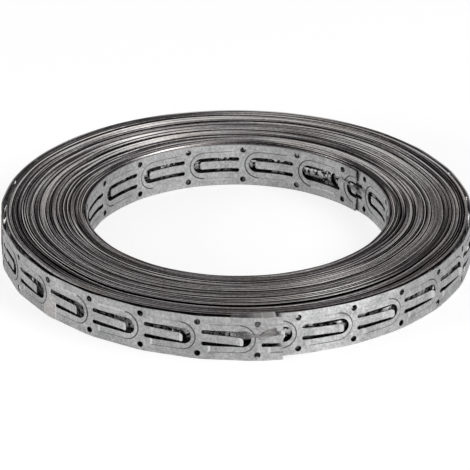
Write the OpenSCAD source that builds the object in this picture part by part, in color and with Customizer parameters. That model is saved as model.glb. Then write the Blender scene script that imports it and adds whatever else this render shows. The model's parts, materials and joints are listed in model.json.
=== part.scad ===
// Roll of galvanized mounting strap, lying flat.
// The roll stands on z = 0 with its axis on Z. One turned solid carries the bore and the
// turns on both end faces. The outer end of the strap springs away from the roll, and the
// inner end leaves a step in the bore. The strap repeats one pattern along its length:
// a pair of nail holes and a U-shaped slot that frees a tongue.

/* [Strap] */

// Width of the strap, which is the height of the roll
strap_w = 20; // [18:0.5:40]

// Sheet thickness of the strap
strap_t = 0.5; // [0.4:0.05:0.7]

// Length of one repeat of the punched pattern
pattern_l = 25; // [24:0.5:40]

/* [Roll] */

// Diameter of the open bore
bore_d = 130; // [100:1:200]

// Number of turns
turns = 49; // [20:1:70]

// Gap between one turn and the next
turn_gap = 0.275; // [0.2:0.005:0.4]

// Depth to which the gaps show on the two end faces
gap_depth = 1; // [0.4:0.1:1.5]

/* [Punching] */

// Diameter of the nail holes
nail_d = 2.7; // [2:0.1:3.5]

// Distance between the two nail holes of a pair, across the strap
nail_span = 14.5; // [12:0.5:15]

// Overall width of the U across the strap
u_w = 7.2; // [6:0.1:8]

// Length of the U along the strap
u_l = 20.8; // [16:0.1:21]

// Distance from a line of nail holes to the open end of the U
u_start = 1.7; // [1:0.1:2]

// Width of the tongue inside the U
tongue_w = 3.6; // [2.5:0.1:4.5]

// Free space between the tip of the tongue and the round end of the U
tip_gap = 3.1; // [1.5:0.1:4]

/* [Ends] */

// Direction of the outer end, seen from above
outer_dir = -78.7; // [-180:0.1:180]

// Length of strap between the last outer nail holes and the outer end
outer_l = 10.7; // [5:0.1:20]

// Part of the outer turn that springs away, as an angle
tail_a = 62; // [40:1:80]

// Bending radius of the sprung part less the radius of the roll
tail_ease = 5.5; // [4:0.5:8]

// Direction of the inner end, seen from above
inner_dir = 35.4; // [-180:0.1:180]

// Length of strap between the inner end and the first inner nail holes
inner_l = 10.5; // [5:0.1:20]

// Part of the bore that is set back beside the inner end, as an angle
step_a = 24; // [12:1:30]

/* [Drawing] */

// Node to draw

/* [Hidden] */

turn_p = strap_t + turn_gap;
bore_r = bore_d / 2;
roll_r = bore_r + (turns - 1) * turn_p + strap_t;

// Angle of a length of strap that is bent to a radius, measured at mid thickness.
function bend(l, r) = l / r * 180 / PI;

out_mid = roll_r - strap_t / 2;
out_step = bend(pattern_l, out_mid);
out_n = floor(360 / out_step);
out_hole_dir = outer_dir - bend(outer_l, out_mid);

in_mid = bore_r + strap_t / 2;
in_step = bend(pattern_l, in_mid);
in_n = floor((360 - step_a) / in_step) - 1;
in_hole_dir = inner_dir + bend(inner_l, in_mid);

// The sprung part bends about a centre that is set back from the roll's axis.
tail_r = roll_r + tail_ease;
tail_dir = outer_dir - tail_a;
tail_bend = tail_a - asin(tail_ease * sin(tail_a) / tail_r);
tail_lead = 6;
tail_n = floor((out_hole_dir - tail_dir) / out_step);

over = 1;
cut_back = tail_ease + 1;
steel = [0.72, 0.73, 0.74];

// Half of the comb that the wound turns show on an end face, from the bore outwards.
comb = [for (i = [0:turns - 1], s = [0:i < turns - 1 ? 3 : 1])
    [bore_r + i * turn_p + [0, strap_t, strap_t, turn_p][s], s < 2 ? 0 : gap_depth]];
comb_n = len(comb);

module wound() {
    rotate_extrude()
        polygon(concat(comb, [for (i = [comb_n - 1:-1:0]) [comb[i].x, strap_w - comb[i].y]]));
}

module about_tail() {
    rotate(tail_dir) translate([-tail_ease, 0, 0]) rotate(-tail_dir) children();
}

module tail() {
    about_tail()
        rotate_extrude(angle = tail_bend - tail_lead, start = tail_dir + tail_lead)
            translate([tail_r - strap_t, 0]) square([strap_t, strap_w]);
}

// Beside the inner end, the bore opens to the middle of the first gap.
module inner_step() {
    translate([0, 0, -over])
        rotate_extrude(angle = step_a, start = inner_dir - step_a)
            translate([bore_r - over, 0])
                square([over + strap_t + turn_gap / 2, strap_w + 2 * over]);
}

// A radial cutter through the strap at a radius: x runs along the strap and y across it.
module radial(dir, r) {
    translate([0, 0, strap_w / 2]) rotate(dir) rotate([90, 0, 90])
        translate([0, 0, r - cut_back]) linear_extrude(2 * cut_back) children();
}

module u_slot() {
    difference() {
        union() {
            translate([-u_l / 2, -u_w / 2]) square([u_l - u_w / 2, u_w]);
            translate([u_l / 2 - u_w / 2, 0]) circle(d = u_w);
        }
        translate([-u_l / 2 - over, -tongue_w / 2]) square([u_l - tip_gap + over, tongue_w]);
    }
}

module punching(dir, r) {
    radial(dir, r)
        for (s = [-1, 1]) translate([0, s * nail_span / 2]) circle(d = nail_d);
    radial(dir + bend(u_start + u_l / 2, r), r) u_slot();
}

// What lies outside a cylinder, over the height of the strap.
module outside(r) {
    difference() {
        translate([0, 0, -over]) cylinder(r = roll_r + tail_ease + 2 * over, h = strap_w + 2 * over);
        translate([0, 0, -2 * over]) cylinder(r = r, h = strap_w + 4 * over);
    }
}

module outer_punching() {
    intersection() {
        for (k = [tail_n + 1:out_n]) punching(out_hole_dir - k * out_step, out_mid);
        outside(roll_r - strap_t);
    }
    intersection() {
        for (k = [0:tail_n]) punching(out_hole_dir - k * out_step, out_mid);
        about_tail() outside(tail_r - strap_t);
    }
}

module inner_punching() {
    intersection() {
        for (k = [0:in_n]) punching(in_hole_dir + k * in_step, in_mid);
        translate([0, 0, -over]) cylinder(r = bore_r + strap_t, h = strap_w + 2 * over);
    }
}

module strap_roll() {
    color(steel)
        difference() {
            union() {
                wound();
                tail();
            }
            inner_step();
            outer_punching();
            inner_punching();
        }
}

strap_roll();
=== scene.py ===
# %% [markdown]
# # A roll of galvanized mounting strap
#
# The roll is one long strip of punched steel, wound flat round an open bore. The
# turns lie so close that from above only their sheared edges show, so the look of the
# roll comes from three things: the punched pattern on the outer and inner turns, the
# uneven gaps between the turns, and the difference between the zinc faces and the
# dark sheared edges. The strap is modelled flat, as it leaves the press, and is then
# wound on a spiral.
#
# The width of the strap, the two radii and the nail holes are read from the CAD
# frame, so the visual model fits it without any measuring by hand.

# %% The frame
import json
import math

import bmesh
import bpy
import numpy as np
from mathutils import Matrix, Vector


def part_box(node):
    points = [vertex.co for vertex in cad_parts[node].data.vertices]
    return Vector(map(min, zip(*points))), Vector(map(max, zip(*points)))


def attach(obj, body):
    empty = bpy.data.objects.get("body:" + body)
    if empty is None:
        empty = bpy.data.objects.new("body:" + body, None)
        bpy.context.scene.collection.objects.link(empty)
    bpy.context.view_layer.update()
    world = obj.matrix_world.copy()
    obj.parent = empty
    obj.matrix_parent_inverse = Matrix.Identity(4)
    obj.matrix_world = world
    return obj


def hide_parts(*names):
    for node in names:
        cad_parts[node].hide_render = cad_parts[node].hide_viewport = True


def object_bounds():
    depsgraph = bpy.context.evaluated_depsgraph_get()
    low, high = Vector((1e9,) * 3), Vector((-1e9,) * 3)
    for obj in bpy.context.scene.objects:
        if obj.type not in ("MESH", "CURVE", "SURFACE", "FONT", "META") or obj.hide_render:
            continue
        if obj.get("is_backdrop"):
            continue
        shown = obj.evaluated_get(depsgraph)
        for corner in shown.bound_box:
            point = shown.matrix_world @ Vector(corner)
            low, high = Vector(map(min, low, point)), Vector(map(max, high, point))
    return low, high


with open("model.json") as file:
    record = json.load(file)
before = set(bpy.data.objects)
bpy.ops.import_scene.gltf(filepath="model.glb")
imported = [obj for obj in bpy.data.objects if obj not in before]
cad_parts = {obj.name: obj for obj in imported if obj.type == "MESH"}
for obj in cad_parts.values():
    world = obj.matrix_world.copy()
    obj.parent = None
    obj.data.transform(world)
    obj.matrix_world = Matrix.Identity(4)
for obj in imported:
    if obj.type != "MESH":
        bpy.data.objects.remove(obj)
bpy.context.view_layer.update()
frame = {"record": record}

MM = 0.001
node_low, node_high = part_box("strap_roll")
mounts = {mount["name"]: mount for mount in frame["record"]["mounts"]}
STRAP_W = node_high.z - node_low.z
ROLL_R = -node_low.x
BORE_R = mounts["coil_bore"]["dims"]["r_mm"] * MM
NAIL_R = mounts["nail_holes_1"]["dims"]["hole_r_mm"] * MM
NAIL_SPAN = mounts["nail_holes_1"]["dims"]["pcd_mm"] * MM
print(f"strap {STRAP_W / MM:.1f} mm wide, bore {BORE_R / MM:.1f} mm, roll {ROLL_R / MM:.1f} mm in radius")

# %% [markdown]
# ## Sizes of the strap
#
# The sheet is half a millimetre thick, and its punched pattern repeats every 25 mm.
# The strap is counted from its inner end, which is inside the bore, to its outer end.
# Each end has a direction, in degrees seen from above, and a length that is left
# between the end and the nearest line of nail holes.

# %% Sizes
STRAP_T = 0.5 * MM
PATTERN_L = 25 * MM
TURNS = 49
INNER_DIR = 36.8
INNER_L = 8.9 * MM
OUTER_DIR = -78.7
OUTER_L = 10.7 * MM
NEAR = 1e-6
half_t = STRAP_T / 2
half_w = STRAP_W / 2
print(f"{TURNS} turns of sheet alone are {TURNS * STRAP_T / MM:.1f} mm thick")

# %% [markdown]
# ## A clean selection
#
# Blender's operators act on everything that is selected, and the frame leaves its own
# nodes selected. So each step first lets go of all objects, and then picks up the one
# that it works on.


# %% Selection
def clear_selection():
    """Leaves edit mode and lets go of every object."""
    if bpy.context.object and bpy.context.object.mode != "OBJECT":
        bpy.ops.object.mode_set(mode="OBJECT")
    bpy.ops.object.select_all(action="DESELECT")


clear_selection()
print(f"{len(bpy.context.selected_objects)} objects are selected")

# %% [markdown]
# ## The winding
#
# Each turn lies on the one before it, so its radius is the radius one turn earlier,
# plus the sheet, plus a gap. A plain spiral with one even gap would be quick to make,
# but its edges show as a regular screw thread. Here the winding is a table instead:
# 240 stations a turn, each with its own gap, from which the radii are added up.

# %% Stations
STEPS = 240
SWEEP = (TURNS - 1) + ((OUTER_DIR - INNER_DIR) % 360) / 360
PITCH = (ROLL_R - BORE_R - STRAP_T) / SWEEP
GAP = PITCH - STRAP_T
turn_at = np.append(np.arange(int(SWEEP * STEPS)) / STEPS, SWEEP)
to_end = SWEEP - turn_at
direction = np.radians(INNER_DIR + 360 * turn_at)
print(f"{SWEEP:.2f} turns, {len(turn_at)} stations, a mean gap of {GAP / MM:.3f} mm")

# %% [markdown]
# What differs from place to place is chance, but a slow chance: a gap opens and closes
# over a good part of a turn. A wave takes a new value every so many turns and passes
# softly from one to the next, and its seed makes it come out the same each time.


# %% Soft steps and slow chance
def smooth(x, low=0.0, high=1.0):
    """Rises softly from 0 at low to 1 at high."""
    t = np.clip((x - low) / (high - low), 0, 1)
    return t * t * (3 - 2 * t)


def fade(x, low, high):
    """Falls softly from 1 at low to 0 at high."""
    return smooth(-x, -high, -low)


def chance_wave(turns, seed):
    """Chance between 0 and 1 along the winding, with a new value every so many turns."""
    x = turn_at / turns
    knots = np.random.default_rng(seed).random(int(x[-1]) + 3)
    i = x.astype(int)
    t = smooth(x - i)
    return knots[i] * (1 - t) + knots[i + 1] * t


print(f"a wave of chance has a mean of {chance_wave(0.41, 48).mean():.2f}")

# %% [markdown]
# The gaps of a real roll are never even. Most turns press together, and a few stand
# wide open. In this roll the wide ones are rarer and wider at the rear, and at the
# front near the outside. The rest of the front is looser as a whole, and the turns
# gape where they ride over the inner end. The numbers were tried until the dark lines
# between the turns looked right.

# %% Loose and tight places
OUTER_GAP = 0.9 * MM
LOOSE_OUTER = 0.3 * MM
GAPING_DIR = 35


def looseness():
    """How loose the winding is at each station, with the mean gap as its mean, and more outside."""
    front = smooth(-np.sin(direction), 0.3, 1)
    rear = smooth(np.sin(direction), 0.1, 0.8)
    few_wide = rear + front * fade(to_end, 10, 15)
    front = front * smooth(to_end, 10, 15)
    gaping = fade(turn_at, 6, 10) * smooth(np.cos(direction - math.radians(GAPING_DIR)), 0.3, 0.8)
    loose = 0.12 + 0.4 * front + 0.25 * chance_wave(0.11, 12) ** 2
    wide = smooth(chance_wave(0.41, 48) - 0.17 * few_wide, 0.55, 0.7)
    loose += (3.2 - 1.2 * front + 7 * few_wide) * wide + 1.6 * gaping
    loose *= GAP / loose.mean()
    loose += OUTER_GAP * fade(to_end, 1.0, 1.2)
    loose += LOOSE_OUTER * smooth(to_end, 0.12, 0.26) * fade(to_end, 0.34, 0.50)
    return loose


print(f"the loosest place would gape by {looseness().max() / MM:.2f} mm")

# %% [markdown]
# The roll must still be round. In each direction the loose gaps are therefore scaled
# to fill the room that is left, so that the outermost turn lies on an even spiral,
# however uneven the roll is inside. Over the first turn and at the very end the gap is
# a plain one.

# %% Gaps
FIRST_GAP = 0.75 * MM
wound_radius = BORE_R + STRAP_T / 2 + (STRAP_T + FIRST_GAP) * turn_at


def gaps():
    """The gap under the strap at each station from the second turn on."""
    scaled = smooth(turn_at, 1, 2) * smooth(to_end, 0, 0.1)
    plain = (1 - scaled) * np.where(turn_at < SWEEP / 2, FIRST_GAP, GAP)
    loose = scaled * looseness()
    gap = np.zeros(len(turn_at))
    for first in range(STEPS):
        here = np.arange(STEPS + first, len(turn_at) - 1, STEPS)
        outside = BORE_R + STRAP_T / 2 + PITCH * turn_at[here[-1]]
        room = outside - wound_radius[first] - len(here) * STRAP_T - plain[here].sum()
        gap[here] = plain[here] + loose[here] * room / loose[here].sum()
    return gap


wound_gap = gaps()
for k in range(STEPS, len(turn_at) - 1):
    wound_radius[k] = wound_radius[k - STEPS] + STRAP_T + wound_gap[k]
wound_radius[-1] = BORE_R + STRAP_T / 2 + PITCH * SWEEP
inner_gaps = wound_gap[STEPS:-1]
print(f"gaps from {inner_gaps.min() / MM:.2f} to {inner_gaps.max() / MM:.2f} mm")
print(f"outer radius {(wound_radius[-1] + STRAP_T / 2) / MM:.2f} mm")

# %% [markdown]
# ## The sprung end
#
# The outer end is free and springs off the roll over its last 62 degrees. It could be
# rotated away as a piece of its own, but then the strap would break where it starts.
# A wider circle that touches the roll there, its centre set back from the roll's axis,
# lets it leave without a kink.

# %% Sprung end
TAIL_A = 62.0
TAIL_EASE = 5.5 * MM


def tail_lift(angle):
    """How far the sprung end stands off the roll, at an angle in degrees past where it leaves."""
    a = np.radians(np.clip(angle, 0, None))
    wide = ROLL_R + TAIL_EASE
    return -TAIL_EASE * np.cos(a) + np.sqrt(wide**2 - (TAIL_EASE * np.sin(a)) ** 2) - ROLL_R


sprung_radius = wound_radius + tail_lift(360 * (turn_at - SWEEP) + TAIL_A)
print(f"the outer end stands {tail_lift(TAIL_A) / MM:.2f} mm off the roll")

# %% [markdown]
# ## The way of the strap
#
# The table of radii becomes a line of points in space, at the middle of the sheet.
# Turns inside the roll have also slipped along the axis by a fraction of a millimetre,
# again by slow chance, which breaks up the light on their edges.

# %% Points of the way
SLIP = 0.34 * MM


def way_at(radius):
    """The points of the strap's way for a radius at each station."""
    middle = smooth(turn_at, 2, 4) * smooth(to_end, 2, 4)
    slip = SLIP * middle * (0.7 * chance_wave(0.37, 21) + 0.3 * chance_wave(0.13, 22))
    return np.stack([radius * np.cos(direction), radius * np.sin(direction), half_w + slip], 1)


def lengths(points):
    """The length of strap from the inner end to each point."""
    return np.append(0, np.cumsum(np.linalg.norm(np.diff(points, axis=0), axis=1)))


print(f"the strap is {lengths(way_at(sprung_radius))[-1]:.2f} m long before it gets its facets")

# %% [markdown]
# The pairs of nail holes weaken the strap, so a turn that nothing presses round bends
# most there and runs nearly straight between. The free outer turn is a polygon more
# than a circle at the front, half as much on the right, and the other turns only a
# little. The facets push the middle of each stretch in and its ends out.

# %% Facets
OUTER_FACETS = 0.1
FREE_FACETS = 0.9
INNER_FACETS = 0.15


def bow(place):
    """How far an arc bows out, less its mean, at a place from 0 to 1 between two pairs of holes."""
    return 4 * place * (1 - place) - 2 / 3


def facets(run):
    """What the facets add to the radius at each station."""
    sagitta = PATTERN_L**2 / 8 / wound_radius
    outer_place = np.mod((run[-1] - OUTER_L - run) / PATTERN_L, 1)
    inner_place = np.mod((run - INNER_L) / PATTERN_L, 1)
    right = fade(to_end, 1, 1.06) * smooth(to_end, 0.6, 0.7)
    front = fade(to_end, 0.24, 0.34)
    outer_share = OUTER_FACETS + (FREE_FACETS - OUTER_FACETS) * (0.5 * right + front)
    outer_share = outer_share * (turn_at > SWEEP / 2)
    inner_share = INNER_FACETS * (turn_at < SWEEP / 2)
    return -sagitta * (outer_share * bow(outer_place) + inner_share * bow(inner_place))


way = way_at(sprung_radius + facets(lengths(way_at(sprung_radius))))
run = lengths(way)
print(f"the strap is {run[-1]:.1f} m long")

# %% [markdown]
# A Curve modifier will bend the flat strap along this way. It follows a curve object,
# so a stretch of the way is turned into one when it is needed. The twist mode Z Up
# keeps the strap upright all round.


# %% Guide curves
def guide(name, first, last):
    """A guide curve along the way between two stations."""
    points = way[first : last + 1]
    curve = bpy.data.curves.new(name, "CURVE")
    curve.dimensions = "3D"
    curve.twist_mode = "Z_UP"
    line = curve.splines.new("POLY")
    line.points.add(len(points) - 1)
    line.points.foreach_set("co", np.c_[points, np.ones(len(points))].ravel())
    line.use_smooth = False
    guide_object = bpy.data.objects.new(name, curve)
    bpy.context.scene.collection.objects.link(guide_object)
    return guide_object


print(f"a guide curve has up to {len(way)} points")

# %% [markdown]
# ## One repeat of the pattern
#
# The press punches a pair of nail holes and a U-shaped slot, and in the same stroke
# raises a shallow pad round the slot. One repeat, the unit, is made flat, lying along
# X with its outer face up, and repeated later. Drawing its outline and giving it a
# thickness would lose the pad and the round shorn edges, so it is built as a solid:
# boxes and bars are cut out of one another, as the tools of the press do it.
#
# Edit mode works on a selection. One helper makes a box at its place, and another
# opens a piece with just those vertices, edges or faces selected that pass a test.


# %% Boxes and selections
def box_piece(name, low, high):
    """A box between two corners."""
    clear_selection()
    low, high = Vector(low), Vector(high)
    bpy.ops.mesh.primitive_cube_add(size=1, location=(low + high) / 2)
    piece = bpy.context.object
    piece.name = name
    piece.scale = high - low
    bpy.ops.object.transform_apply(location=True, rotation=True, scale=True)
    return piece


def edit_selected(piece, kind, test=lambda item: True):
    """Opens a piece in edit mode with the vertices, edges or faces selected that pass a test."""
    clear_selection()
    bpy.context.view_layer.objects.active = piece
    bpy.ops.object.mode_set(mode="EDIT")
    bpy.ops.mesh.select_mode(type=kind)
    bpy.ops.mesh.select_all(action="DESELECT")
    mesh = bmesh.from_edit_mesh(piece.data)
    for item in {"VERT": mesh.verts, "EDGE": mesh.edges, "FACE": mesh.faces}[kind]:
        item.select_set(bool(test(item)))
    mesh.select_flush_mode()
    bmesh.update_edit_mesh(piece.data)


print("boxes and selections are ready")

# %% [markdown]
# The blank is a flat length of strap. The shears that slit it from a wide sheet pull
# its edges round on the side where they enter, which is the inner face here, and leave
# them nearly sharp on the other. Two bevels of different width do that.

# %% The blank
UNIT_START = 1.45 * MM
BURR = 0.03 * MM
ROLLOVER = 0.2 * MM


def blank(name, x0, x1):
    """A flat length of strap from x0 to x1 with its long edges bevelled."""
    bar = box_piece(name, (x0, -half_w, -half_t), (x1, half_w, half_t))
    for amount, side in ((ROLLOVER, -1), (BURR, 1)):
        edit_selected(
            bar,
            "EDGE",
            lambda e: abs(e.verts[0].co.x - e.verts[1].co.x) > (x1 - x0) / 2
            and all(abs(v.co.z - side * half_t) < NEAR for v in e.verts),
        )
        bpy.ops.mesh.bevel(offset=amount, segments=1, affect="EDGES")
    bpy.ops.object.mode_set(mode="OBJECT")
    return bar


unit = blank("strap_unit", UNIT_START, UNIT_START + PATTERN_L)
print(f"the blank has {len(unit.data.polygons)} faces")

# %% [markdown]
# The pad and the slot have the same outline, a stadium with one end cut off square.
# It starts as a cylinder. A bisect keeps the round half, and the flat side that this
# leaves is drawn out to the square end.


# %% Bars with one round end
def stadium(name, x0, x1, half, z0, z1, sides=22):
    """A bar from a square end at x0 to a round end at x1."""
    clear_selection()
    middle = x1 - half
    place = (middle, 0, (z0 + z1) / 2)
    bpy.ops.mesh.primitive_cylinder_add(vertices=sides, radius=half, depth=z1 - z0, location=place)
    bar = bpy.context.object
    bar.name = name
    bpy.ops.object.transform_apply(location=True, rotation=True, scale=True)
    edit_selected(bar, "VERT")
    bpy.ops.mesh.bisect(plane_co=(middle, 0, 0), plane_no=(1, 0, 0), use_fill=True, clear_inner=True)
    edit_selected(bar, "FACE", lambda f: f.normal.x < -0.99)
    bpy.ops.mesh.extrude_region_move(TRANSFORM_OT_translate={"value": (x0 - middle, 0, 0)})
    bpy.ops.object.mode_set(mode="OBJECT")
    return bar


def cut(piece, tool, operation="DIFFERENCE"):
    """Cuts a tool out of a piece, or joins it on, and takes the tool away."""
    clear_selection()
    bpy.context.view_layer.objects.active = piece
    boolean = piece.modifiers.new("cut", "BOOLEAN")
    boolean.operation = operation
    boolean.object = tool
    boolean.solver = "EXACT"
    bpy.ops.object.modifier_apply(modifier=boolean.name)
    bpy.data.objects.remove(tool)


print("bars and cuts are ready")

# %% [markdown]
# The pad stands a quarter of a millimetre proud on the outer face and leaves a dent as
# deep on the inner one. So one form is joined on above, and the same form is cut away
# below. Its top is chamfered while it is still tall and then pushed down, which makes
# the sloping step round it wider than high. At the square end the top is drawn back
# further, where the real pad runs out in a gentle ramp.

# %% The pressed pad
PAD_W = 13.2 * MM
PAD_H = 0.25 * MM
PAD_START = 4.3 * MM
PAD_END = 24.4 * MM
PAD_STEP = 0.5 * MM
PAD_RAMP = 1.2 * MM


def press_down(form):
    """Slopes a form's sides, brings its top down to the pad's height and ramps its square end."""
    top = max(v.co.z for v in form.data.vertices) - NEAR
    edit_selected(
        form,
        "EDGE",
        lambda e: all(v.co.z > top for v in e.verts) and any(abs(f.normal.z) < 0.5 for f in e.link_faces),
    )
    bpy.ops.mesh.bevel(offset=PAD_STEP, segments=1, affect="EDGES")
    edit_selected(form, "VERT", lambda v: v.co.z > top)
    bpy.ops.transform.translate(value=(0, 0, PAD_H - PAD_STEP))
    pressed = top + PAD_H - PAD_STEP
    square_end = PAD_START + PAD_STEP + NEAR
    edit_selected(form, "VERT", lambda v: v.co.z > pressed and v.co.x < square_end)
    bpy.ops.transform.translate(value=(PAD_RAMP - PAD_STEP, 0, 0))
    bpy.ops.object.mode_set(mode="OBJECT")


pad = stadium("pad", PAD_START, PAD_END, PAD_W / 2, 0, half_t + PAD_STEP)
dent = stadium("dent", PAD_START, PAD_END, PAD_W / 2, -3 * half_t, -half_t + PAD_STEP)
press_down(pad)
press_down(dent)
cut(unit, pad, "UNION")
cut(unit, dent)
print(f"with its pad the unit has {len(unit.data.polygons)} faces")

# %% [markdown]
# ## Slot, tongue and nail holes
#
# The slot is a stadium with a bar left standing in it, which is the tongue, and the
# tongue's tip has rounded corners. The far ends of the two legs are round too, so a
# small cylinder finishes each of them, a little wider than the leg, as in the strap.

# %% The slot
LEG_BACK = 1 * MM
TIP_ROUND = 1.0 * MM
U_START = 1.7 * MM
U_L = 20.8 * MM
U_W = 7.2 * MM
TONGUE_W = 3.6 * MM
TIP_GAP = 3.1 * MM
tongue_root = U_START + LEG_BACK
tongue_end = U_START + U_L - TIP_GAP

slot = stadium("slot", tongue_root, U_START + U_L, U_W / 2, -2 * MM, 2 * MM, 26)
bar = box_piece("bar", (0, -TONGUE_W / 2, -3 * MM), (tongue_end, TONGUE_W / 2, 3 * MM))
edit_selected(
    bar,
    "EDGE",
    lambda e: all(v.co.x > tongue_end - NEAR for v in e.verts) and e.verts[0].co.y == e.verts[1].co.y,
)
bpy.ops.mesh.bevel(offset=TIP_ROUND, segments=3, affect="EDGES")
bpy.ops.object.mode_set(mode="OBJECT")
cut(slot, bar)
cut(unit, slot)
print(f"the tongue is {(tongue_end - tongue_root) / MM:.1f} mm long")

# %% [markdown]
# The nail holes are plain round punches. The unit starts just past one line of holes
# and ends just past the next, so its own pair is the one at its far end.

# %% Round punches
LEG_FLARE = 1.06
leg_r = (U_W - TONGUE_W) / 4
punches = [(U_START + leg_r, side * (U_W / 2 - leg_r), leg_r * LEG_FLARE) for side in (-1, 1)]
punches += [(PATTERN_L, side * NAIL_SPAN / 2, NAIL_R) for side in (-1, 1)]
for x, y, r in punches:
    clear_selection()
    bpy.ops.mesh.primitive_cylinder_add(vertices=18, radius=r, depth=4 * MM, location=(x, y, 0))
    cut(unit, bpy.context.object)
print(f"punched, the unit has {len(unit.data.polygons)} faces")

# %% [markdown]
# ## Lines across the unit
#
# The strap is going to be bent, and a face can't bend between its corners. So the flat
# unit is cut across every few millimetres, and once more where the tongue's tip curls.
# The cuts leave long faces with many corners, which are split into well-shaped
# triangles, so that no later step splits them by chance.

# %% Cross lines
TIP_L = 1.6 * MM
cross_lines = [x * MM for x in (5, 7.5, 10, 12.5, 15, 20.3, 22.5)]
for x in cross_lines + [tongue_end - TIP_L]:
    edit_selected(unit, "VERT")
    bpy.ops.mesh.bisect(plane_co=(x, 0, 0), plane_no=(1, 0, 0))
edit_selected(unit, "VERT")
bpy.ops.mesh.quads_convert_to_tris(quad_method="SHORTEST_DIAGONAL", ngon_method="BEAUTY")
bpy.ops.mesh.beautify_fill(angle_limit=math.radians(1))
bpy.ops.object.mode_set(mode="OBJECT")
print(f"cut across, the unit has {len(unit.data.polygons)} triangles")

# %% [markdown]
# The unit's two end faces would stay inside the strap as walls, so they are taken off
# and the repeats join into one open length.

# %% Open ends
unit_low = UNIT_START + NEAR
unit_high = UNIT_START + PATTERN_L - NEAR


def is_end(face):
    """Whether a face is one of the unit's two end faces."""
    x = face.calc_center_median().x
    return abs(face.normal.x) > 0.99 and (x < unit_low or x > unit_high)


edit_selected(unit, "FACE", is_end)
bpy.ops.mesh.delete(type="FACE")
bpy.ops.object.mode_set(mode="OBJECT")
print(f"open at both ends, the unit has {len(unit.data.polygons)} triangles")

# %% [markdown]
# ## Cut faces and pressed places
#
# Zinc was on the sheet before it was cut, so the walls of the slot and the holes and
# the two long edges are bare steel. They get the second material slot. The press
# raised the pad, the ramp and the tongue's tip: the step round the pad gets painted
# shade, fullest at its round end, and the ramp and the tip get a painted highlight on
# the outer face. Those are stored on the faces as two attributes, which the materials
# read, and which a bend doesn't move.


# %% Marks on the strap
STEEP, GENTLE, LEVEL = 0.5, 0.94, 0.995


def mark_sheared(flat):
    """Gives the second material slot to the faces that the tools cut."""
    for face in flat.data.polygons:
        wall = abs(face.normal.z) < STEEP or abs(face.center.y) > half_w - ROLLOVER
        face.material_index = 1 if wall else 0


def mark_pressed(flat):
    """Stores how much painted shade the step round the pad gets, and how much painted highlight the ramp
    and the tip get.
    """
    crease, painted_glint = [], []
    for face in flat.data.polygons:
        x, y, slope = face.center.x, abs(face.center.y), abs(face.normal.z)
        step = STEEP < slope < GENTLE and y < PAD_W / 2 + 0.1 * MM
        # Painted shade in the step: full at the round end, less along the straight sides, one side less
        # than the other.
        straight_run = 0.5 if face.normal.y > 0.1 else 0.65
        crease.append(step * (1 if x > PAD_END - PAD_W / 2 else straight_run))
        # Painted highlight on the ramp and the tongue's tip, on the outer face only, stronger on one side
        # of the ramp.
        ramp = GENTLE < slope < LEVEL and x < PAD_START + PAD_RAMP and y > U_W / 2
        tip = y < TONGUE_W / 2 and tongue_end - TIP_L < x < tongue_end
        ramp_light = 1 if face.center.y < 0 else 0.3
        painted_glint.append((tip + ramp * ramp_light) * (face.normal.z > 0))
    for name, value in (("crease", crease), ("painted_glint", painted_glint)):
        flat.data.attributes.new(name, "FLOAT", "FACE").data.foreach_set("value", value)
        print(f"{name}: {sum(value):.0f} faces")


unit.data.materials.append(None)
unit.data.materials.append(None)
mark_sheared(unit)
mark_pressed(unit)

# %% [markdown]
# ## The punched ends of the strap
#
# Only the first turns and the last turns show their faces, so only they need the
# punched pattern, and the turns between can stay plain and light. The unit is repeated
# with an Array modifier that merges the repeats where they meet. The row starts before
# the strap does and ends after it, with a line of nail holes at the right place, and
# is cut to length later.


# %% A row of units
def punched(name, line, length):
    """A flat punched row that covers 0 to a length and has a line of nail holes at x = line."""
    clear_selection()
    strap = unit.copy()
    strap.data = unit.data.copy()
    strap.name = name
    bpy.context.scene.collection.objects.link(strap)
    bpy.context.view_layer.objects.active = strap
    strap.select_set(True)
    first = line - PATTERN_L * (math.ceil((line - UNIT_START) / PATTERN_L) + 1)
    count = math.ceil((length - first - UNIT_START) / PATTERN_L)
    array = strap.modifiers.new("repeats", "ARRAY")
    array.use_relative_offset = False
    array.use_constant_offset = True
    array.constant_offset_displace = (PATTERN_L, 0, 0)
    array.count = count
    array.use_merge_vertices = True
    array.merge_threshold = NEAR
    bpy.ops.object.modifier_apply(modifier=array.name)
    strap.location.x = first
    bpy.ops.object.transform_apply(location=True, rotation=True, scale=True)
    return strap, first, count


print(f"a full outer turn takes {2 * math.pi * ROLL_R / PATTERN_L:.1f} units")

# %% [markdown]
# A tongue stays straight where the strap bends away under it, and the press has turned
# up its last millimetre and a half. So each tongue stands off most at its tip, by its
# own amount. Nothing presses on the four tongues of the sprung end, and those stand
# off most. Further back, on the sides and the rear, the tongues lie nearly flat, and
# in the bore the next turn holds them down. Where another turn lies on the strap, its
# pads were pressed flat again as well.

# %% Lift of the tongues
STRAIGHT_LIFT = 1.2 * MM
TIP_LIFT = 0.7 * MM
SPRUNG_TONGUES = slice(-5, -1)
SPRUNG_LIFTS = 0.8, 1.0, 1.4, 2.1
CALM_TONGUES = slice(-21, -6)
CALM_SHARE = 0.15


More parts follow.
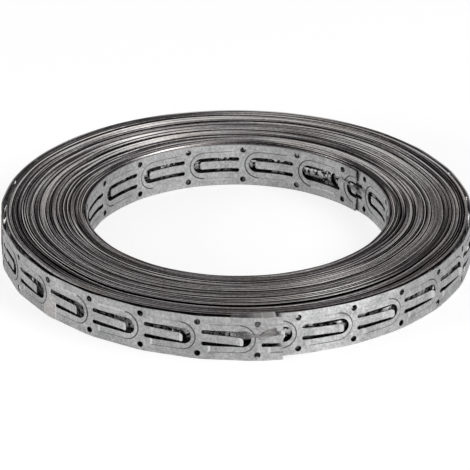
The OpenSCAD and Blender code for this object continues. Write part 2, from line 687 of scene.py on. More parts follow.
def tongue_lift(strap, first, count, seed, strength, shown):
    """How far each point of a flat row rises. A pad that isn't shown sinks back into the sheet."""
    co = np.empty(3 * len(strap.data.vertices))
    strap.data.vertices.foreach_get("co", co)
    co = co.reshape(-1, 3)
    number = np.clip(((co[:, 0] - first - UNIT_START) / PATTERN_L).astype(int), 0, count - 1)
    along = co[:, 0] - first - number * PATTERN_L
    on_tongue = (abs(co[:, 1]) < TONGUE_W / 2 + NEAR) & (along > tongue_root) & (along < tongue_end + NEAR)
    from_root = np.clip((along - tongue_root) / (tongue_end - tongue_root), 0, 1)
    curl = np.clip((along - tongue_end + TIP_L) / TIP_L, 0, 1)
    own = 0.75 + 0.5 * np.random.default_rng(seed).random((2, count))
    own[0, SPRUNG_TONGUES] = SPRUNG_LIFTS
    own[:, CALM_TONGUES] *= CALM_SHARE
    lift = STRAIGHT_LIFT * from_root**1.3 * own[0][number] + TIP_LIFT * curl * own[1][number]
    pressed = abs(abs(co[:, 2]) - half_t) > NEAR
    is_shown = shown(first + UNIT_START + number * PATTERN_L)
    return np.where(is_shown, strength * on_tongue * lift, pressed * -PAD_H)


print(f"the last tongue's straight part stands off {SPRUNG_LIFTS[-1] * STRAIGHT_LIFT / MM:.1f} mm")

# %% [markdown]
# A Displace modifier moves points up by the weight they have in a vertex group. The
# group holds values from 0 to 1, so the lowest lift becomes 0, the highest becomes 1,
# and the modifier's strength and middle level turn them into lengths again. The rows
# are then trimmed with a bisect that fills the cut, so each strap is closed.


# %% Displacing and cutting
def displace(strap, lift):
    """Raises each point of a flat row by its own lift."""
    lowest, highest = lift.min(), lift.max()
    group = strap.vertex_groups.new(name="lift")
    weights = np.round((lift - lowest) / (highest - lowest), 4)
    for weight in np.unique(weights):
        group.add(np.nonzero(weights == weight)[0].tolist(), weight, "REPLACE")
    clear_selection()
    bpy.context.view_layer.objects.active = strap
    modifier = strap.modifiers.new("lift", "DISPLACE")
    modifier.direction = "Z"
    modifier.mid_level = -lowest / (highest - lowest)
    modifier.strength = highest - lowest
    modifier.vertex_group = group.name
    bpy.ops.object.modifier_apply(modifier=modifier.name)
    strap.vertex_groups.clear()


def trim(strap, x, keep_low):
    """Cuts a flat strap square across at x and closes the cut."""
    edit_selected(strap, "VERT")
    bpy.ops.mesh.bisect(
        plane_co=(x, 0, 0),
        plane_no=(1, 0, 0),
        use_fill=True,
        clear_outer=keep_low,
        clear_inner=not keep_low,
        threshold=NEAR,
    )
    bpy.ops.object.mode_set(mode="OBJECT")


print("rows can be lifted and trimmed")

# %% [markdown]
# Now the flat strap is stood on edge and bent along the way by a Curve modifier. With
# no window, transform.rotate turns the other way round and needs to be told its
# centre. Each point first stores its place in the winding as an attribute, in turns
# from the inner end, because the finishes change from turn to turn and a material
# can't count them.


# %% Bending
def bend_on(strap, first, last):
    """Stands a flat strap on edge and bends it along the way between two stations."""
    flat = np.empty(3 * len(strap.data.vertices))
    strap.data.vertices.foreach_get("co", flat)
    turn = strap.data.attributes.new("turn", "FLOAT", "POINT")
    turn.data.foreach_set("value", np.interp(run[first] + flat[::3], run, turn_at))
    curve = guide(strap.name + "_guide", first, last)
    clear_selection()
    strap.select_set(True)
    bpy.context.view_layer.objects.active = strap
    bpy.ops.transform.rotate(value=-math.pi / 2, orient_axis="X", center_override=(0, 0, 0))
    bpy.ops.object.transform_apply(location=True, rotation=True, scale=True)
    bend = strap.modifiers.new("bend", "CURVE")
    bend.object = curve
    bend.deform_axis = "POS_X"
    bpy.ops.object.modifier_apply(modifier=bend.name)
    bpy.data.objects.remove(curve)
    bpy.ops.object.shade_smooth_by_angle(angle=math.radians(22))
    print(f"{strap.name}: {len(strap.data.polygons)} faces")


print("straps can be bent")

# %% [markdown]
# The outer strap is the last three turns and a bit, and the inner strap the first two
# and a half: a turn that is seen, the one that is seen through its slots, and the one
# that is seen through the slots of that. The tongue nearest the inner end has broken
# off, so a box takes it away down to its root.

# %% The two punched straps
OUTER_TURNS = 3.1
INNER_TURNS = 2.6
INNER_STRENGTH = 0.05
inner_last = round(INNER_TURNS * STEPS)
outer_first = round((SWEEP - OUTER_TURNS) * STEPS)
first_turn = 2 * math.pi * BORE_R
last_turn = run[-1] - run[outer_first] - 2 * math.pi * ROLL_R


def punched_end(name, line, first_station, last_station, seed, strength, shown, lost=None):
    """A bent punched strap between two stations. A negative line counts from its far end."""
    length = run[last_station] - run[first_station]
    strap, first, count = punched(name, line if line > 0 else length + line, length)
    displace(strap, tongue_lift(strap, first, count, seed, strength, shown))
    if lost:
        low = (lost + U_START + leg_r, -TONGUE_W / 2 - leg_r, -3 * MM)
        high = (lost + tongue_end + 1 * MM, TONGUE_W / 2 + leg_r, 3 * MM)
        cut(strap, box_piece("lost_tongue", low, high))
    trim(strap, 0, False)
    trim(strap, length, True)
    bend_on(strap, first_station, last_station)
    return strap


outer_strap = punched_end(
    "outer_turns", -OUTER_L, outer_first, len(way) - 1, 31, 1, lambda x: x > last_turn - PATTERN_L / 2
)
inner_strap = punched_end(
    "inner_turns", INNER_L, 0, inner_last, 32, INNER_STRENGTH, lambda x: x < first_turn, lost=INNER_L
)
bpy.data.objects.remove(unit)

# %% [markdown]
# ## The turns between
#
# Of the forty-odd turns between, only the edges show. They are one plain length of the
# same strap. The bends need cross lines every four and a half millimetres, which makes
# some five thousand of them. Subdividing the long edges twice, each time by the square
# root of that, is far quicker than cutting them one by one.

# %% Middle of the roll
CROSS_L = 4.5 * MM
middle_length = run[outer_first] - run[inner_last]
middle_strap = blank("middle_turns", 0, middle_length)
cuts = round(math.sqrt(middle_length / CROSS_L)) - 1
for _ in range(2):
    edit_selected(middle_strap, "EDGE", lambda e: abs(e.verts[0].co.x - e.verts[1].co.x) > 1 * MM)
    bpy.ops.mesh.subdivide(number_cuts=cuts)
bpy.ops.object.mode_set(mode="OBJECT")
middle_strap.data.materials.append(None)
middle_strap.data.materials.append(None)
mark_sheared(middle_strap)
bend_on(middle_strap, inner_last, outer_first)

# %% [markdown]
# ## The clear tape
#
# Clear adhesive tape holds the roll. One bit covers the upper half of the sprung end
# and is folded on to the top, and a paler bit covers the lower half of the outermost
# turn on the left. Each is a thin flat sheet, bent along the same way as the strap
# under it and just clear of its pads, with a second sheet joined on at a right angle
# for the fold. The paler bit stores how milky it is, with a bright line at its free
# end.

# %% Flat tape
TAPE_T = 0.06 * MM
on_pads = half_t + PAD_H


def station(azimuth):
    """The station of the outermost turn in a direction."""
    return round((SWEEP - ((OUTER_DIR - azimuth) % 360) / 360) * STEPS)


def bend_tape(sheet, first, last, attribute, values):
    """Stores an attribute on a flat sheet of tape and bends it on."""
    sheet.data.materials.append(None)
    sheet.data.attributes.new(attribute, "FLOAT", "POINT").data.foreach_set("value", values)
    bend_on(sheet, first, last)
    return sheet


def tape(name, first_azimuth, last_azimuth, bottom, top, fold, pale=0.0):
    """A bit of tape round the outside between two directions, with a width of fold on the top."""
    first = station(first_azimuth)
    last = min(station(last_azimuth), len(way) - 2)
    length = run[last] - run[first]
    sheet = box_piece(name, (0, bottom - half_w, on_pads), (length, top - half_w, on_pads + TAPE_T))
    if fold:
        low, high = (0, half_w, -fold), (length, top - half_w, on_pads + TAPE_T / 2)
        cut(sheet, box_piece("fold", low, high), "UNION")
    for x in np.linspace(0, length, 9)[1:-1]:
        edit_selected(sheet, "VERT")
        bpy.ops.mesh.bisect(plane_co=(x, 0, 0), plane_no=(1, 0, 0))
    bpy.ops.object.mode_set(mode="OBJECT")
    values = [1.0 if pale and v.co.x > length - NEAR else pale for v in sheet.data.vertices]
    return bend_tape(sheet, first, last, "pale", values)


tapes = [
    tape("tape_end", -91, -79, 10 * MM, STRAP_W + TAPE_T, 4.5 * MM),
    tape("tape_left", -141.8, -136.5, 0.2 * MM, 10.5 * MM, 0, 0.85),
]

# %% [markdown]
# Where the tape spans a hollow it has gathered into a ruck, a narrow ribbon of several
# layers that pinches and widens: one crosses the last slots of the outer end, and one
# hangs in the bore over the inner end. A ribbon is the same thin sheet, cut across at
# a few places, and at each of them scaled and moved to the heights of its two edges.

# %% Rucks in the tape
END_RUCK = (
    (0, 11.2, 13.4),
    (0.2, 10.3, 14),
    (0.42, 11.3, 12.4),
    (0.6, 11.2, 12.2),
    (0.76, 11.3, 14.2),
    (1, 11.6, 15.3),
)
INNER_RUCK = ((0, 9.9, 11.5), (0.3, 9.9, 11.5), (0.65, 11.5, 12.3), (1, 11.7, 13.4))
RUCK_OFF = 8 * TAPE_T
INNER_RUCK_OFF = -1.6 * MM


def ruck(name, first, last, stand_off, profile):
    """A ribbon of tape. Its profile gives the heights in mm of its two edges at places along it."""
    length = run[last] - run[first]
    sheet = box_piece(name, (0, -1 * MM, stand_off), (length, 1 * MM, stand_off + TAPE_T))
    for place, _, _ in profile[1:-1]:
        edit_selected(sheet, "VERT")
        bpy.ops.mesh.bisect(plane_co=(place * length, 0, 0), plane_no=(1, 0, 0))
    for place, low, top in profile:
        edit_selected(sheet, "VERT", lambda v: abs(v.co.x - place * length) < NEAR)
        bpy.ops.transform.resize(value=(1, (top - low) / 2, 1), center_override=(0, 0, 0))
        bpy.ops.transform.translate(value=(0, (top + low) / 2 * MM - half_w, 0))
    bpy.ops.object.mode_set(mode="OBJECT")
    return bend_tape(sheet, first, last, "layers", [1.0] * len(sheet.data.vertices))


inner_first, inner_to = (round(STEPS * (1 + (a - INNER_DIR) / 360)) for a in (32.2, 45.8))
tapes += [
    ruck("tape_end_ruck", station(-89.7), len(way) - 2, on_pads + RUCK_OFF, END_RUCK),
    ruck("tape_inner_ruck", inner_first, inner_to, INNER_RUCK_OFF - half_t, INNER_RUCK),
]

# %% [markdown]
# ## Short words for nodes
#
# The finishes are shader nodes. Building them one by one takes several lines for each
# node, so a small class gives every kind of node that is needed here a short word. A
# pattern is a node group, built once, which puts out only colours and values. The
# shader itself stays in the material, where the export can read it.


# %% Node words
class Nodes:
    """A short way to add nodes to a tree and join them."""

    def __init__(self, tree):
        self.tree = tree

    def link(self, socket, target):
        self.tree.links.new(socket, target)

    def add(self, kind, inputs=None, **settings):
        """A node with its settings, and its inputs joined to sockets or set to values."""
        node = self.tree.nodes.new("ShaderNode" + kind)
        for name, value in settings.items():
            setattr(node, name, value)
        for name, value in (inputs or {}).items():
            if isinstance(value, bpy.types.NodeSocket):
                self.link(value, node.inputs[name])
            else:
                node.inputs[name].default_value = value
        return node

    def math(self, operation, a, b=0.0):
        return self.add("Math", {0: a, 1: b}, operation=operation).outputs[0]

    def ramp(self, value, low, high, to_low=0.0, to_high=1.0):
        """Maps low..high to to_low..to_high, held at both ends."""
        inputs = {"Value": value, "From Min": low, "From Max": high, "To Min": to_low, "To Max": to_high}
        return self.add("MapRange", inputs, clamp=True).outputs["Result"]

    def noise(self, vector, scale, detail, roughness):
        inputs = {"Vector": vector, "Scale": scale, "Detail": detail, "Roughness": roughness}
        return self.add("TexNoise", inputs).outputs["Fac"]

    def stretched(self, vector, x, y, z):
        return self.add("Mapping", {"Vector": vector, "Scale": (x, y, z)}).outputs[0]

    def mix(self, factor, a, b, blend="MIX"):
        return self.add("MixRGB", {0: factor, 1: a, 2: b}, blend_type=blend).outputs[0]

    def attribute(self, name):
        return self.add("Attribute", attribute_name=name).outputs["Fac"]

    def group(self, group):
        node = self.add("Group")
        node.node_tree = group
        return node.outputs


def new_pattern(name, outputs):
    """An empty node group with named outputs."""
    group = bpy.data.node_groups.new(name, "ShaderNodeTree")
    for output, kind in outputs.items():
        group.interface.new_socket(output, in_out="OUTPUT", socket_type="NodeSocket" + kind)
    return group


def put_out(group, **sockets):
    """Joins sockets to the outputs of a node group and hands the group back."""
    out = group.nodes.new("NodeGroupOutput")
    for name, socket in sockets.items():
        group.links.new(socket, out.inputs[name])
    return group


SURFACE = {"Color": "Color", "Roughness": "Float", "Height": "Float"}
print(f"a metal's pattern puts out {', '.join(SURFACE)}")

# %% [markdown]
# ## Places in the winding
#
# All finishes follow the winding. Their patterns are laid out by direction, height and
# turn instead of by plain X and Y, so a rolling mark runs on round the roll without a
# seam, and every turn gets its own streaks. One group works the places out for all of
# them: Face goes round and up a face, Edge goes round and from turn to turn on the
# ends of the roll, Even is the plain place, and Turn is the stored place in the
# winding. Face and Even are in millimetres. A direction is given by its sine and
# cosine, which have no jump where an angle would start again at zero.

# %% Places
FACE_R = 100.0


def make_places():
    kinds = {"Face": "Vector", "Edge": "Vector", "Even": "Vector", "Turn": "Float"}
    group = new_pattern("winding_places", kinds)
    n = Nodes(group)
    place = n.add("TexCoord").outputs["Object"]
    even = n.add("VectorMath", {0: place, "Scale": 1 / MM}, operation="SCALE").outputs[0]
    x, y, z = n.add("SeparateXYZ", {0: even}).outputs
    radius = n.math("SQRT", n.math("ADD", n.math("POWER", x, 2.0), n.math("POWER", y, 2.0)))
    cosine, sine = n.math("DIVIDE", x, radius), n.math("DIVIDE", y, radius)
    turn = n.attribute("turn")
    round_x, round_y = n.math("MULTIPLY", cosine, FACE_R), n.math("MULTIPLY", sine, FACE_R)
    face = n.add("CombineXYZ", {0: round_x, 1: round_y, 2: z}).outputs[0]
    edge = n.add("CombineXYZ", {0: cosine, 1: sine, 2: turn}).outputs[0]
    return put_out(group, Face=face, Edge=edge, Even=even, Turn=turn)


places = make_places()
print(f"places: {', '.join(socket.name for socket in places.interface.items_tree)}")

# %% [markdown]
# ## The zinc faces
#
# The zinc is a dull bright grey with a fine grain, faint marks along the strap from
# the rolls, soft clouds where the coating set differently, and small dark specks. The
# first turn gets painted shade beside the inner end and a painted sheen on the stretch
# after it, where the bowed strap faces the light differently.
#
# Painting such a surface by hand would take an image. Noise textures on the places of
# the winding give the same look at any distance, and each of them adds a little light
# or takes some away.

# %% Light of the zinc
SPECK_LIGHT = 0.55


def zinc_light(n, at, grain, cloud, rolled):
    """How light the bare zinc is, about 1, with painted shade and a painted sheen on the first turn."""
    flake = n.add("TexVoronoi", {"Vector": at["Even"], "Scale": 0.42}, feature="F1").outputs["Color"]
    flake = n.add("SeparateColor", {0: flake}).outputs[0]
    speck = n.ramp(n.noise(at["Even"], 0.55, 4, 0.7), 0.66, 0.74)
    light = n.math("ADD", n.ramp(grain, 0.3, 0.7, -0.3, 0.3), n.ramp(cloud, 0.3, 0.7, -0.15, 0.15))
    light = n.math("ADD", light, n.ramp(rolled, 0.3, 0.7, -0.1, 0.1))
    light = n.math("ADD", light, n.ramp(flake, 0, 1, -0.03, 0.03))
    light = n.math("MULTIPLY", n.math("ADD", light, 1.0), n.ramp(speck, 0, 1, 1, SPECK_LIGHT))
    # Painted shade beside the inner end, then a painted sheen on the stretch of the first turn after it.
    sheen_from = n.ramp(at["Turn"], 0.09, 0.17, 0.92, 1.42)
    sheen_until = n.ramp(at["Turn"], 0.26, 0.29, 0, -0.3)
    first_turn = n.ramp(at["Turn"], 0.98, 1, n.math("ADD", sheen_from, sheen_until), 1)
    return n.math("MULTIPLY", light, first_turn)


print(f"a speck keeps {SPECK_LIGHT:.0%} of the light")

# %% [markdown]
# Inside the roll, where one turn presses on the next, the strap has kept a film of
# rolling oil and dust, and it lies in shade. Through the slots it shows as dark, partly
# oil and partly painted shade, with bright ragged blots of painted light, brighter in
# the upper half, where light comes in. A painted shadow makes it nearly black along the
# top edge, and a turn that lies deeper still is painted black all over as shade.

# %% Oil and painted shade inside the roll
SHADE_BLACK = (0.03, 0.028, 0.027, 1)


def between(n, at, low, high):
    """1 where the strap is covered by that many turns on both sides, and 0 near its ends."""
    after_start = n.ramp(at["Turn"], low, high)
    before_end = n.ramp(at["Turn"], SWEEP - high, SWEEP - low, 1, 0)
    return n.math("MULTIPLY", after_start, before_end)


def oiled_and_shaded(n, at, color, inside):
    """The zinc's color with its film of oil, and painted shade and light where it lies inside the roll."""
    height_at = n.add("SeparateXYZ", {0: at["Even"]}).outputs[2]
    # Painted shade and light in the slots: dark, with bright ragged blots that are brighter in the upper
    # half.
    lit_blots = n.ramp(n.noise(at["Even"], 0.5, 3, 0.6), 0.44, 0.52, 0.03, 1.6)
    lit_blots = n.math("MULTIPLY", lit_blots, n.ramp(height_at, 8.5, 11.5, 0.25, 1))
    lit_blots = n.math("MULTIPLY", lit_blots, n.ramp(at["Turn"], 4, 5, 1, 0.9))
    # Painted shadow along the top edge.
    shadow_under_edge = n.ramp(height_at, STRAP_W / MM - 1.7, STRAP_W / MM - 1.1)
    color = n.mix(inside, color, n.mix(1.0, color, lit_blots, "MULTIPLY"))
    return n.mix(n.math("MULTIPLY", inside, shadow_under_edge), color, SHADE_BLACK)


print(f"oil starts at turn 1 and ends at turn {SWEEP - 1:.2f}")

# %% [markdown]
# The zinc pattern puts these together. Painted shade darkens and dulls the step round
# the pads, and a painted highlight makes the ramps and tips lighter and smoother. The
# relief that the bump node reads is the grain with a share of the rolling marks.

# %% Zinc pattern
ZINC = (0.60, 0.60, 0.605, 1)
STEP_SHADE = (0.06, 0.06, 0.06, 1)
GLINT_WHITE = (0.98, 0.98, 0.98, 1)


def make_zinc_pattern():
    group = new_pattern("zinc_pattern", SURFACE)
    n = Nodes(group)
    at = n.group(places)
    grain = n.noise(at["Even"], 0.9, 5, 0.65)
    cloud = n.noise(at["Even"], 0.11, 3, 0.6)
    rolled = n.noise(n.stretched(at["Face"], 0.03, 0.03, 2.2), 1.0, 3, 0.6)
    inside = between(n, at, 1.0, 1.004)
    crease, painted_glint = n.attribute("crease"), n.attribute("painted_glint")
    color = n.mix(1.0, ZINC, zinc_light(n, at, grain, cloud, rolled), "MULTIPLY")
    color = oiled_and_shaded(n, at, color, inside)
    # Painted shade in the step round the pads.
    color = n.mix(n.math("MULTIPLY", crease, 0.85), color, STEP_SHADE)
    # Painted highlight on the ramps and the tongues' tips.
    color = n.mix(painted_glint, color, GLINT_WHITE)
    # Painted shade: a turn that lies deeper still is black all over.
    color = n.mix(between(n, at, 2.2, 2.4), color, SHADE_BLACK)
    rough = n.math("ADD", n.ramp(cloud, 0.3, 0.7, 0.34, 0.46), n.ramp(grain, 0.3, 0.7, -0.04, 0.06))
    rough = n.math("SUBTRACT", rough, n.math("MULTIPLY", inside, 0.06))
    rough = n.math("SUBTRACT", rough, n.math("MULTIPLY", painted_glint, 0.2))
    rough = n.math("ADD", rough, n.math("MULTIPLY", crease, 0.3))
    height = n.math("ADD", n.math("MULTIPLY", grain, 0.7), n.math("MULTIPLY", rolled, 0.3))
    return put_out(group, Color=color, Roughness=rough, Height=height)


zinc_pattern = make_zinc_pattern()
print(f"the zinc pattern has {len(zinc_pattern.nodes)} nodes")

# %% [markdown]
# ## The sheared edges
#
# The sheared edges have no zinc. They have weathered to a dark brown grey, lighter
# where the shears rubbed them bright. Light and dark run along each turn, and several
# turns together often share a tone, because they were cut one after the other. The
# contrast grows towards the rear and the sides. The rim of the roll is darker at the
# front outside and lighter at the rear, and its inner turns are darker at the front
# and the rear, most of all on the right.
#
# The tone runs from dark below zero to bright at one. Noise textures that are
# stretched by different amounts make it: a thin one for single turns, a broad one for
# bundles of them, and a third one that says where the thin one is strong.

# %% Tone of the edges
def edge_rims(n, at, to_right, to_back):
    """How the tone changes near the outside of the roll and near its bore."""
    outermost = n.ramp(at["Turn"], SWEEP - 10, SWEEP - 8)
    innermost = n.ramp(at["Turn"], 5, 9, 1, 0)
    outer_rim = n.math("MULTIPLY", outermost, n.ramp(to_back, -0.3, 0.6, -0.65, 0.35))
    inner_rim = n.math("MULTIPLY", innermost, n.ramp(n.math("ABSOLUTE", to_back), 0.2, 0.6))
    inner_rim = n.math("MULTIPLY", inner_rim, n.ramp(to_right, -0.6, 0.3, -0.2, -0.65))
    return n.math("ADD", outer_rim, inner_rim)


def edge_tone(n, at, shown):
    """How light the sheared edges are."""
    to_right, to_back = n.add("SeparateXYZ", {0: at["Edge"]}).outputs[:2]
    off_front = n.math("ADD", to_back, n.math("MULTIPLY", n.math("ABSOLUTE", to_right), 0.6))
    single = n.noise(n.stretched(at["Edge"], 1.0, 1.0, 1.9), 1.0, 1, 0.5)
    bundle = n.noise(n.stretched(at["Edge"], 0.8, 0.8, 0.4), 1.0, 1, 0.5)
    contrast = n.noise(n.stretched(at["Edge"], 0.7, 0.7, 0.16), 1.0, 0, 0.5)
    contrast = n.math("ADD", n.ramp(contrast, 0.42, 0.58, 0.55, 1.0), n.ramp(off_front, 0, 0.8, 0, 0.6))
    contrast = n.math("MULTIPLY", contrast, n.ramp(at["Turn"], 0.996, 1.0, 0.35, 1))
    tone = n.math("MULTIPLY", n.ramp(single, 0.38, 0.62, -1, 1), contrast)
    tone = n.math("ADD", tone, n.ramp(bundle, 0.36, 0.64, -0.05, 0.2))
    tone = n.math("ADD", tone, n.math("MULTIPLY", shown, 0.3))
    tone = n.math("SUBTRACT", tone, n.ramp(off_front, 0, 0.8, 0, 0.2))
    return n.math("ADD", tone, edge_rims(n, at, to_right, to_back))


print("the edges get their tone from three noises")

# %% [markdown]
# The last turn's edge lies free and is a little lighter, and the first one's too. Fine
# nicks across the edges, from the shears, break the streaks up, except on that last
# turn. A brown cast of soil lies on parts of the roll. Light edges are smoother than
# dark ones.

# %% Sheared pattern
EDGE_DARK = (0.06, 0.0545, 0.056, 1)
EDGE_GREY = (0.38, 0.355, 0.363, 1)
EDGE_BRIGHT = (0.92, 0.90, 0.885, 1)
SOIL = (0.86, 0.74, 0.66, 1)


def make_sheared_pattern():
    group = new_pattern("sheared_pattern", SURFACE)
    n = Nodes(group)
    at = n.group(places)
    first_edge = n.ramp(at["Turn"], 0.996, 1.0, 0.3, 0)
    shown = n.math("ADD", first_edge, n.ramp(at["Turn"], SWEEP - 1, SWEEP - 0.996))
    tone = edge_tone(n, at, shown)
    rough = n.math("ADD", n.ramp(tone, -0.8, 0.9, 0.46, 0.28), n.ramp(at["Turn"], 0.996, 1.0, 0.25, 0))
    nicks = n.noise(n.stretched(at["Edge"], 60, 60, 1.9), 1.0, 2, 0.6)
    nicks = n.math("MULTIPLY", n.ramp(nicks, 0.3, 0.7, -0.35, 0.35), n.ramp(shown, 0, 1, 1, 0.3))
    tone = n.math("ADD", tone, nicks)
    color = n.mix(n.ramp(tone, -0.9, 0.1), EDGE_DARK, EDGE_GREY)
    color = n.mix(n.ramp(tone, 0.1, 1.0), color, EDGE_BRIGHT)
    soil = n.ramp(n.noise(at["Even"], 0.035, 3, 0.6), 0.45, 0.65, 0, 0.35)
    color = n.mix(soil, color, n.mix(1.0, color, SOIL, "MULTIPLY"))
    grit = n.noise(at["Even"], 2.4, 3, 0.7)
    return put_out(group, Color=color, Roughness=rough, Height=grit)


sheared_pattern = make_sheared_pattern()
print(f"the sheared pattern has {len(sheared_pattern.nodes)} nodes")

# %% [markdown]
# ## The film of the tape
#
# Clear tape is nearly invisible, and what shows is where it has gone milky: in soft
# streaks, along creases, where several layers lie in a ruck, and on the paler bit. So
# its pattern puts out an alpha, low where the film is clear. A crease is where a noise
# passes through its middle value, which draws thin wandering lines. The fold over the
# top is clear at its left end and grows milky towards the end of the strap.

# %% Tape pattern
MILKY = (0.50, 0.475, 0.475, 1)
CREASED = (0.75, 0.74, 0.74, 1)
RUCK_SHADE = (0.09, 0.086, 0.086, 1)
FREE_END = (0.8, 0.78, 0.78, 1)


def make_tape_pattern():
    group = new_pattern("tape_pattern", {"Color": "Color", "Alpha": "Float", "Height": "Float"})
    n = Nodes(group)
    at = n.group(places)
    layers, pale = n.attribute("layers"), n.attribute("pale")
    milky = n.noise(n.stretched(at["Face"], 0.08, 0.08, 0.3), 1.0, 3, 0.6)
    wave = n.noise(n.stretched(at["Face"], 0.12, 0.12, 0.35), 1.0, 2, 0.5)
    crease = n.ramp(n.math("ABSOLUTE", n.math("SUBTRACT", wave, 0.5)), 0, 0.02, 1, 0)
    height_at = n.add("SeparateXYZ", {0: at["Even"]}).outputs[2]
    alpha = n.math("ADD", n.ramp(milky, 0.45, 0.62, 0.05, 0.3), n.math("MULTIPLY", crease, 0.2))
    on_top = n.ramp(height_at, STRAP_W / MM - 0.1, STRAP_W / MM)
    to_right = n.add("SeparateXYZ", {0: at["Edge"]}).outputs[0]
    fold_alpha = n.math("MULTIPLY", on_top, n.ramp(to_right, 0.05, 0.19, 0.08, 0.72))
    alpha = n.math("MULTIPLY", alpha, n.math("SUBTRACT", 1.0, on_top))
    alpha = n.math("ADD", alpha, fold_alpha)
    alpha = n.math("ADD", alpha, n.math("MULTIPLY", layers, 0.5))
    alpha = n.math("MAXIMUM", alpha, pale)
    # Painted shade: a ruck's layers are darkened in places, most where the film is least milky.
    ruck_shade = n.math("MULTIPLY", layers, n.ramp(milky, 0.42, 0.58, 0.95, 0.3))
    color = n.mix(crease, MILKY, CREASED)
    color = n.mix(ruck_shade, color, RUCK_SHADE)
    color = n.mix(n.ramp(pale, 0.9, 1), color, FREE_END)
    return put_out(group, Color=color, Alpha=alpha, Height=wave)


tape_pattern = make_tape_pattern()
print(f"the tape pattern has {len(tape_pattern.nodes)} nodes")

# %% [markdown]
# ## The three materials
#
# Each material is one Principled shader that is fed by a pattern. The two metals are
# fully metallic and take their color and roughness from it, and the tape is a smooth
# plastic with an alpha. The pattern's height goes through a Bump node, whose distance
# is how deep the relief is on the real thing: hundredths of a millimetre on the
# metals, and nearly a whole one in the crumpled tape.


# %% Materials
def finish(name, pattern, fed, relief_depth, plain):
    """A material with the inputs that its pattern feeds and those that have a plain value."""
    material = bpy.data.materials.new(name)
    material.use_nodes = True
    n = Nodes(material.node_tree)
    shader = material.node_tree.nodes["Principled BSDF"]
    for input_name, value in plain.items():
        shader.inputs[input_name].default_value = value
    out = n.group(pattern)
    for output, input_name in fed.items():
        n.link(out[output], shader.inputs[input_name])
    relief = n.add("Bump", {"Height": out["Height"], "Strength": 1.0, "Distance": relief_depth})
    n.link(relief.outputs[0], shader.inputs["Normal"])
    return material


metal_inputs = {"Color": "Base Color", "Roughness": "Roughness"}
tape_inputs = {"Color": "Base Color", "Alpha": "Alpha"}
zinc_face = finish("zinc_face", zinc_pattern, metal_inputs, 0.02 * MM, {"Metallic": 1})
sheared_edge = finish("sheared_edge", sheared_pattern, metal_inputs, 0.01 * MM, {"Metallic": 1})
clear_tape = finish("clear_tape", tape_pattern, tape_inputs, 0.8 * MM, {"Roughness": 0.3})
print(f"materials: {zinc_face.name}, {sheared_edge.name}, {clear_tape.name}")

# %% [markdown]
# ## Pieces on their body
#
# Every piece gets its finish and is told which body it rides on. The roll has no
# joints, so that is always root. The three lengths of strap stand for the CAD model's
# one solid, and the tape is extra.

# %% Finishes and bodies
for sheet in tapes:
    sheet.data.materials[0] = clear_tape
    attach(sheet, "root")
for strap in (outer_strap, inner_strap, middle_strap):
    strap.data.materials[0] = zinc_face
    strap.data.materials[1] = sheared_edge
    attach(strap, "root")
    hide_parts("strap_roll")
print(f"{len(tapes)} bits of tape and 3 lengths of strap")

# %% [markdown]
# ## The floor
#
# The roll lies on a white floor that runs out to nothing. A floor lit to pure white
# would need so much light that the zinc would burn out. So the floor tells apart who
# asks: a ray from the camera sees a mid grey that shines a little by itself, which
# comes out nearly white and still takes the roll's soft shadow, and a ray from the
# metal sees a plain pale floor.

# %% Floor
FLOOR_SEEN = 0.5
FLOOR_SHINE = 0.64
FLOOR_MIRRORED = 0.8
floor_material = bpy.data.materials.new("floor")
floor_material.use_nodes = True
n = Nodes(floor_material.node_tree)
shader = floor_material.node_tree.nodes["Principled BSDF"]
shader.inputs["Roughness"].default_value = 0.9
shader.inputs["Specular IOR Level"].default_value = 0
shader.inputs["Emission Color"].default_value = (1, 1, 1, 1)
seen = n.add("LightPath").outputs["Is Camera Ray"]
n.link(n.ramp(seen, 0, 1, FLOOR_MIRRORED, FLOOR_SEEN), shader.inputs["Base Color"])
n.link(n.math("MULTIPLY", seen, FLOOR_SHINE), shader.inputs["Emission Strength"])

clear_selection()
bpy.ops.mesh.primitive_plane_add(size=6, location=(0, 0, 0))
floor = bpy.context.object
floor.name = "floor"
floor.data.materials.append(floor_material)
floor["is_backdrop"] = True
print(f"the floor is {floor.dimensions.x:.0f} m wide")

# %% [markdown]
# ## Light
#
# A metal shows what it mirrors, so the lamps are large soft panels. The key stands
# high on the right and lights the edges on top. The fill is wide and low on the left
# and lights the left of the outer face and the inner face across the bore. The front
# lamp is a low strip just above the floor, which only the upright faces mirror, so it
# lifts the right of the outer face and leaves the top alone. A pale world fills in
# the rest.


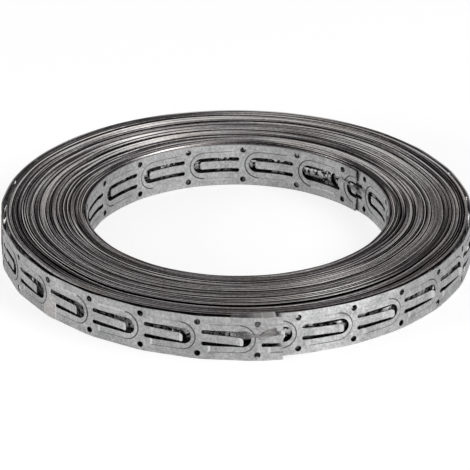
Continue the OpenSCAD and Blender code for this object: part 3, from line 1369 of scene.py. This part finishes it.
# %% Lamps
def soft_light(name, toward, distance, size, power):
    """A rectangular lamp in a direction from the roll, facing it."""
    clear_selection()
    way_out = Vector(toward).normalized()
    bpy.ops.object.light_add(type="AREA", location=way_out * distance)
    lamp = bpy.context.object
    lamp.name = name
    lamp.rotation_euler = way_out.to_track_quat("Z", "Y").to_euler()
    lamp.data.shape = "RECTANGLE"
    lamp.data.size, lamp.data.size_y = size
    lamp.data.energy = power
    print(f"{name}: {size[0]} x {size[1]} m, {power} W")


soft_light("key", (0.69, -0.3, 0.66), 1.4, (0.7, 0.7), 5)
soft_light("fill", (-0.92, -0.38, 0.28), 1.5, (0.8, 0.35), 8.2)
soft_light("front", (0.68, -0.73, 0.017), 0.6, (0.4, 0.018), 1.2)

world = bpy.data.worlds.new("studio")
bpy.context.scene.world = world
world.use_nodes = True
sky = world.node_tree.nodes["Background"]
sky.inputs["Color"].default_value = (0.9, 0.9, 0.9, 1)
sky.inputs["Strength"].default_value = 0.55

# %% [markdown]
# ## Camera
#
# The roll is seen from the front and from 26 degrees above, through a long lens from
# nearly two metres away, which hardly narrows it towards the back. The camera's three
# axes are worked out from its angles: back points from the roll to the camera, level
# lies in the floor, and a small tilt turns the view about the line of sight.

# %% Camera
ELEVATION = math.radians(26.15)
AZIMUTH = math.radians(0.71)
TILT = math.radians(0.32)
DISTANCE = 1.877
LENS = 328.9
target = Vector((-0.83, 0, 6.70)) * MM
level = Vector((math.cos(AZIMUTH), math.sin(AZIMUTH), 0))
outward = Vector((math.sin(AZIMUTH), -math.cos(AZIMUTH), 0))
back = outward * math.cos(ELEVATION) + Vector((0, 0, math.sin(ELEVATION)))
right = math.cos(TILT) * level + math.sin(TILT) * back.cross(level)

clear_selection()
bpy.ops.object.camera_add(location=target + back * DISTANCE)
camera = bpy.context.object
camera.rotation_euler = Matrix((right, back.cross(right), back)).transposed().to_euler()
camera.data.lens = LENS
camera.data.sensor_width = 36
camera.data.clip_start = 0.05
camera.data.clip_end = 20
bpy.context.scene.camera = camera
bpy.context.scene.view_settings.view_transform = "Standard"
print(f"the camera is {camera.location.length:.2f} m from the roll")

# %% Sizes for the record
new_low, new_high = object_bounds()
sides = [round((high - low) / MM, 1) for low, high in zip(new_low, new_high)]
print(f"what is seen is {sides[0]} x {sides[1]} x {sides[2]} mm")
